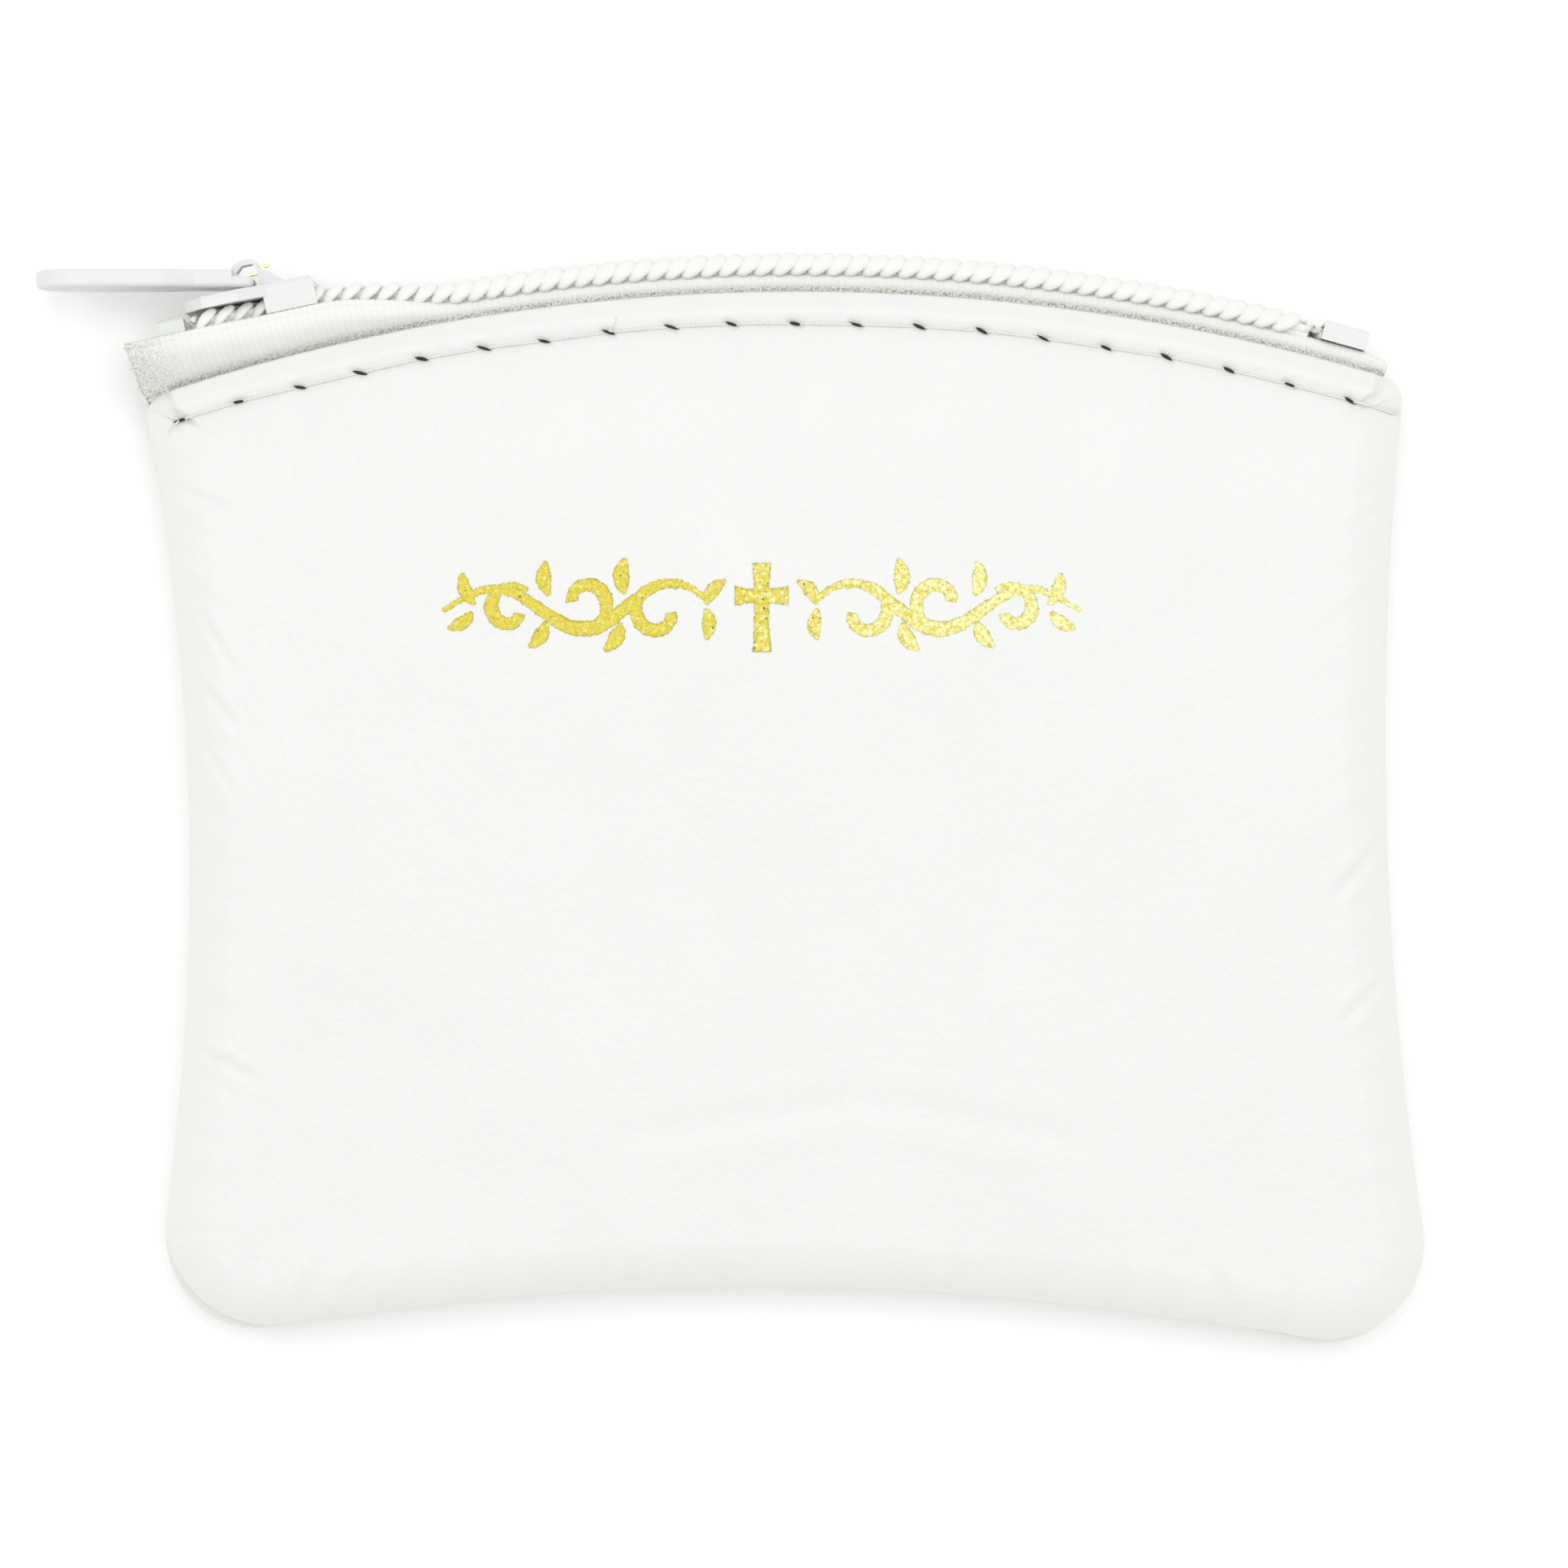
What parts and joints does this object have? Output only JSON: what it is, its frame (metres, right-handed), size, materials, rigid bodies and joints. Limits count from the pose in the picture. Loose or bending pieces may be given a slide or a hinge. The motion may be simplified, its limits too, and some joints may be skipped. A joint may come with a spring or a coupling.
{
  "type": "rosary pouch",
  "caption": "Small white leather pouch that lies flat and closes with a zip along its curved top edge, with a slider, a flat pull tab and a gold foil ornament.",
  "frame": {"origin": "middle of the flat outer face of the back panel, which the closed pouch lies on", "axes": "+X along the zip towards its closed end stop, +Y from the bottom seam towards the zip, +Z out of the front panel"},
  "size_m": [0.0913, 0.0713, 0.0091],
  "materials": {
    "leather": "fine-grained white leather, satin",
    "gold_foil": "gold hot-stamping foil, crinkled",
    "zip_tape": "woven polyester tape",
    "coil_nylon": "glossy translucent nylon",
    "zip_yarn": "polyester yarn",
    "sewing_thread": "twisted polyester thread",
    "slider_paint": "white enamel on die-cast zinc",
    "brass_strip": "bare brass spring strip",
    "stop_paint": "white enamel",
    "stop_nylon": "clear moulded nylon"
  },
  "bodies": {
    "pouch_back": {"back_panel": "leather", "zip_tape_back": "zip_tape", "zip_coil_back": "coil_nylon", "coil_cord_back": "zip_yarn", "coil_stitching_back": "zip_yarn", "zip_needle_thread_back": "sewing_thread", "zip_bobbin_thread_back": "sewing_thread", "side_seam_thread": "sewing_thread", "top_stop_front": "stop_nylon", "top_stop_back": "stop_nylon", "bottom_stop": "stop_paint"},
    "pouch_front": {"front_panel": "leather", "zip_tape_front": "zip_tape", "zip_coil_front": "coil_nylon", "coil_cord_front": "zip_yarn", "coil_stitching_front": "zip_yarn", "zip_needle_thread_front": "sewing_thread", "zip_bobbin_thread_front": "sewing_thread", "foil_ornament": "gold_foil"},
    "slider": {"slider_body": "slider_paint", "slider_crown": "slider_paint"},
    "lock_pin": {"lock_pin": "brass_strip"},
    "pull_tab": {"pull_tab": "slider_paint"}
  },
  "joints": [
    {"name": "mouth_open", "type": "hinge", "parent": "pouch_back", "child": "pouch_front", "pos_m": [0, -0.0364, 0.0045], "axis": [1, 0, 0], "range_deg": [0, 8], "deforming": ["side_seam_thread", "zip_tape_front", "zip_coil_front", "coil_cord_front", "coil_stitching_front"]},
    {"name": "slider_travel", "type": "hinge", "parent": "pouch_back", "child": "slider", "pos_m": [-0.0022, -0.12498, 0.0045], "axis": [0, 0, -1], "range_deg": [0, 23.2], "deforming": ["zip_tape_back", "zip_coil_back", "coil_cord_back", "coil_stitching_back"]},
    {"name": "tab_flip", "type": "hinge", "parent": "slider", "child": "pull_tab", "pos_m": [-0.03592, 0.03349, 0.0045], "axis": [0, 0, -1], "range_deg": [-10, 146]},
    {"name": "pin_lift", "type": "slide", "parent": "slider", "child": "lock_pin", "axis": [-0.2079, 0.9781, 0], "range_m": [-0.00003, 0.0003]}
  ],
  "couplings": [
    {"joint": "slider_travel", "follows": "mouth_open", "ratio": 2.89},
    {"joint": "pin_lift", "follows": "tab_flip", "m_per_rad": 0.000117}
  ]
}
